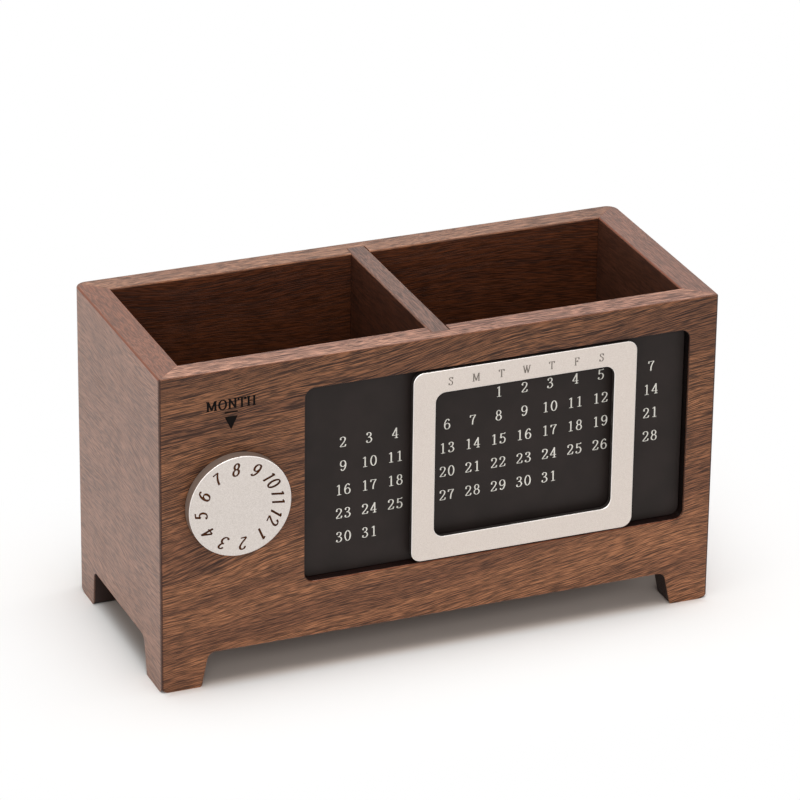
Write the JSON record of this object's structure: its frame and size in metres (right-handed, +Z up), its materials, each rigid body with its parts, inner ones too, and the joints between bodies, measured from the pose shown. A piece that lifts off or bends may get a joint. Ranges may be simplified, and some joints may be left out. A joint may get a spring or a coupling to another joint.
{
  "type": "desk organiser with perpetual calendar",
  "caption": "Walnut pen box on short feet with two open compartments, a metal frame sliding over a plate of dates and a turning month dial",
  "frame": {"origin": "middle of the overall footprint, the dial's thickness included, on the surface that the feet stand on", "axes": "+X to the right as seen from the front, along the long side; +Y from the calendar front to the back; +Z up"},
  "size_m": [0.17, 0.0768, 0.097],
  "materials": {
    "walnut": "oiled walnut, long grain running round the case",
    "walnut_floor": "oiled walnut board",
    "black_plate": "matt black with white printed dates",
    "plate_adhesive": "thin black double-sided sheet",
    "slider_metal": "satin, with bright rounded edges and engraved weekday initials",
    "black_magnet": "flexible magnet strip",
    "glide_film": "low-friction film",
    "dial_metal": "fine bead-blasted satin with engraved month numbers",
    "steel": "turned and plated",
    "felt": "thin pressed felt",
    "brass": "turned"
  },
  "bodies": {
    "case": {"front_panel": "walnut", "back_panel": "walnut", "left_side_panel": "walnut", "right_side_panel": "walnut", "divider_panel": "walnut", "floor_panel": "walnut_floor", "date_plate": "black_plate", "plate_adhesive": "plate_adhesive", "dial_bush": "brass"},
    "slider": {"slider_frame": "slider_metal", "slider_magnet_left": "black_magnet", "slider_magnet_right": "black_magnet", "slider_magnet_top": "black_magnet", "slider_magnet_bottom": "black_magnet", "slider_glide_film": "glide_film"},
    "dial": {"month_dial": "dial_metal", "dial_spindle": "steel", "dial_felt": "felt", "spring_washer": "steel", "lock_nut": "steel"}
  },
  "joints": [
    {"name": "date_frame_slide", "type": "slide", "parent": "case", "child": "slider", "axis": [1, 0, 0], "range_m": [-0.03146, 0.01573]},
    {"name": "month_dial_turn", "type": "hinge", "parent": "case", "child": "dial", "pos_m": [-0.0625, -0.03835, 0.0566], "axis": [0, -1, 0], "continuous": true}
  ]
}
